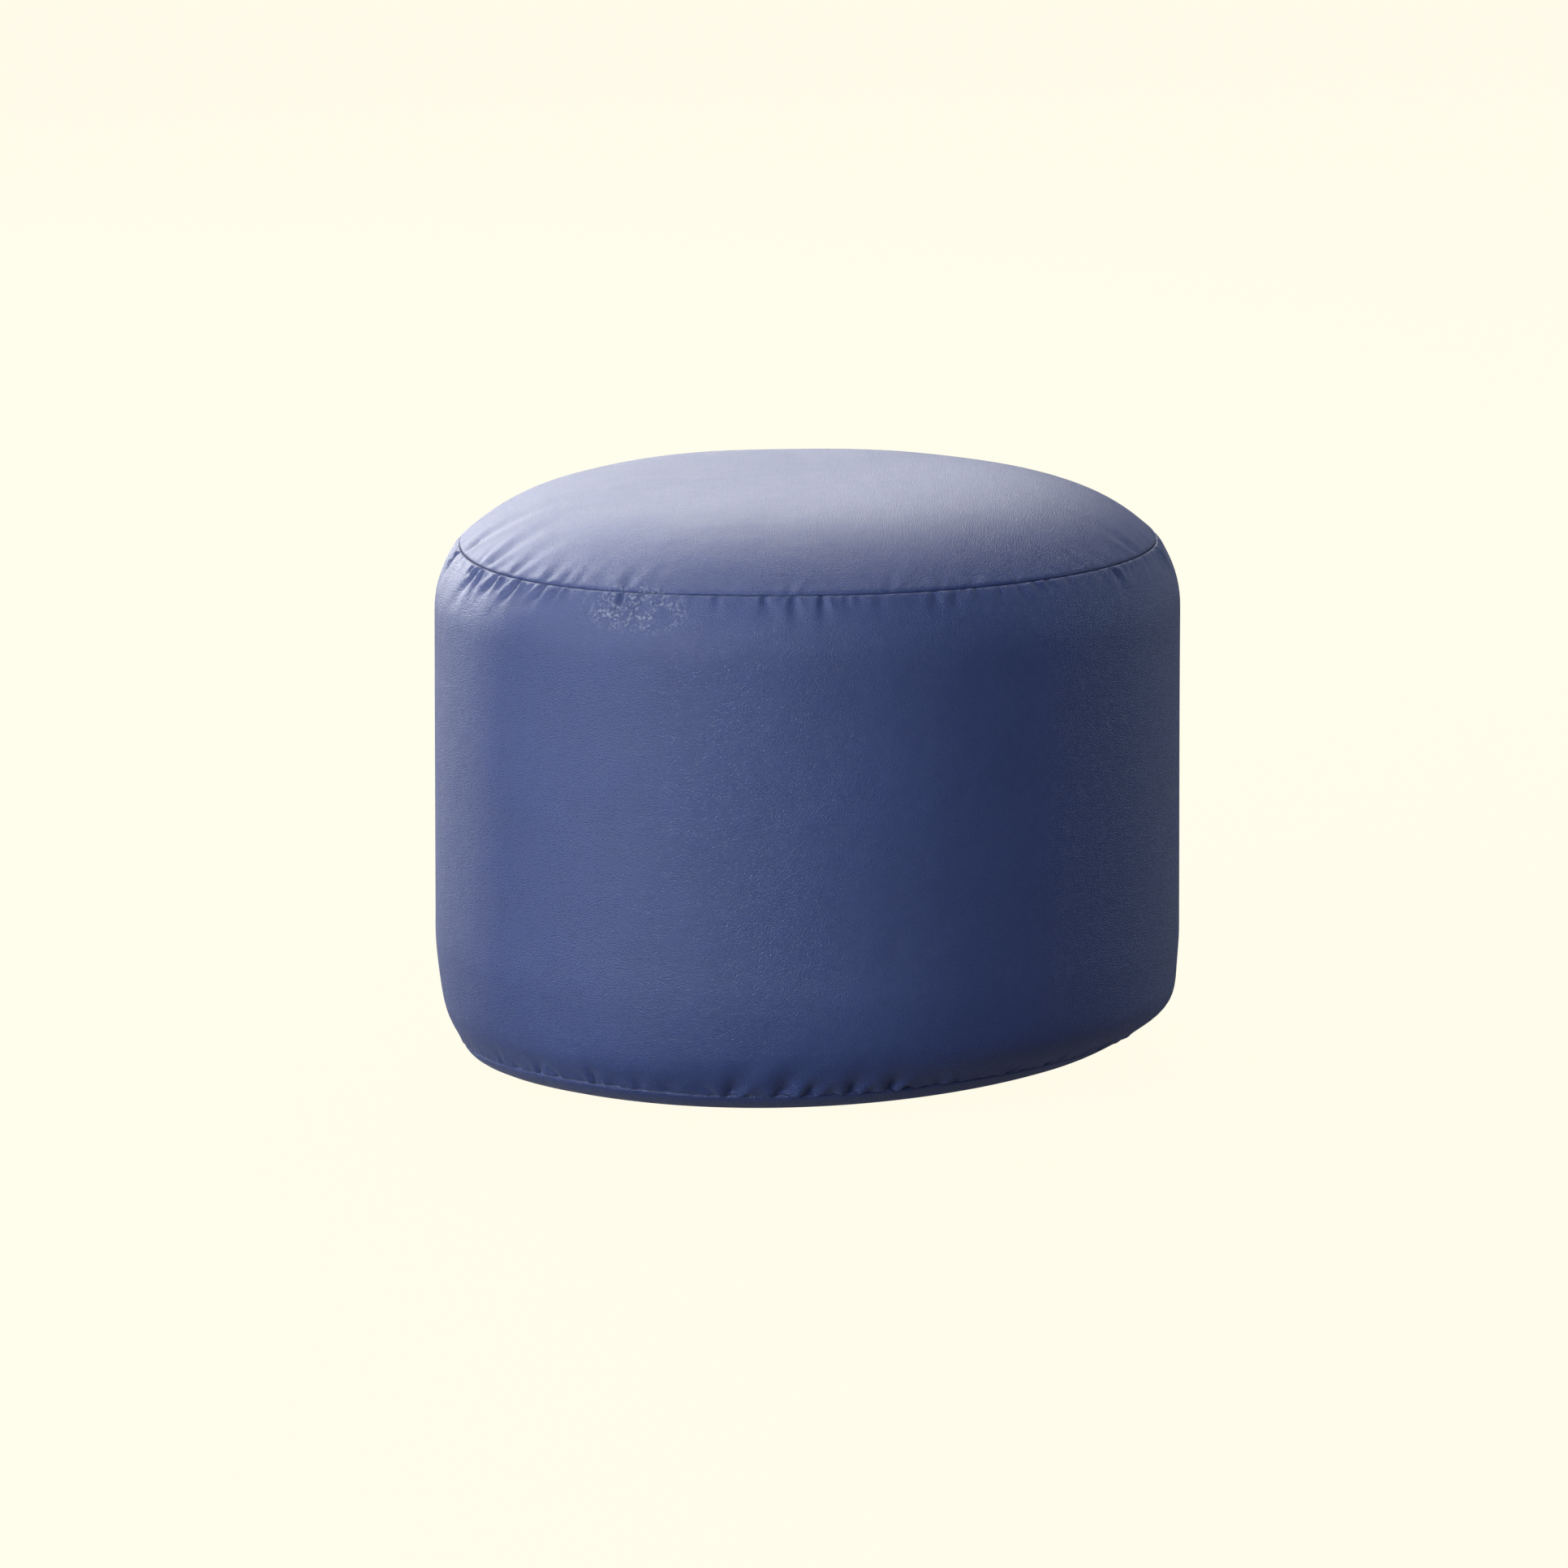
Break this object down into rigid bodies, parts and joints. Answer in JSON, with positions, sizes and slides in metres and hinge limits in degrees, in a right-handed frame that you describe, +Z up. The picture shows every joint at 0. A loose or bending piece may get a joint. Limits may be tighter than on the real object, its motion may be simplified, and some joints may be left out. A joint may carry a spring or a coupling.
{
  "type": "drum floor cushion",
  "caption": "Round drum floor cushion in navy leather cloth with a crowned top, plain sewn seams, a bead-filled liner and a zip in its back seam.",
  "frame": {"origin": "centre of the flat base, on the floor", "axes": "+Z up through the crown, the front faces -Y, the zip stands at +Y"},
  "size_m": [0.5, 0.504, 0.394],
  "materials": {
    "cover_leather": "satin pebble-grained navy leather cloth",
    "cover_thread": "bonded polyester thread",
    "zip_tape": "woven polyester tape",
    "zip_coil": "nylon coil",
    "zip_metal": "gunmetal plating",
    "liner_cloth": "plain non-woven cloth",
    "liner_thread": "polyester thread",
    "beads": "loose polystyrene beads"
  },
  "bodies": {
    "cushion": {"top_panel": "cover_leather", "side_band": "cover_leather", "base_panel": "cover_leather", "top_seam_thread": "cover_thread", "base_seam_thread": "cover_thread", "closing_seam_thread": "cover_thread", "zip_tape_left": "zip_tape", "zip_tape_right": "zip_tape", "zip_coil_left": "zip_coil", "zip_coil_right": "zip_coil", "zip_lower_stops": "zip_metal", "zip_upper_stop": "zip_metal", "zip_thread_left": "cover_thread", "zip_thread_right": "cover_thread", "zip_end_tacks": "cover_thread", "liner_top": "liner_cloth", "liner_wall": "liner_cloth", "liner_base": "liner_cloth", "liner_top_thread": "liner_thread", "liner_base_thread": "liner_thread", "liner_side_thread": "liner_thread", "bead_fill": "beads"},
    "slider": {"zip_slider": "zip_metal"},
    "pull_tab": {"zip_pull_tab": "zip_metal"}
  },
  "joints": [
    {"name": "slider_travel", "type": "slide", "parent": "cushion", "child": "slider", "axis": [0, 0, 1], "range_m": [0, 0.169]},
    {"name": "tab_swing", "type": "hinge", "parent": "slider", "child": "pull_tab", "pos_m": [0, 0.2521, 0.10825], "axis": [1, 0, 0], "range_deg": [0, 170]}
  ]
}
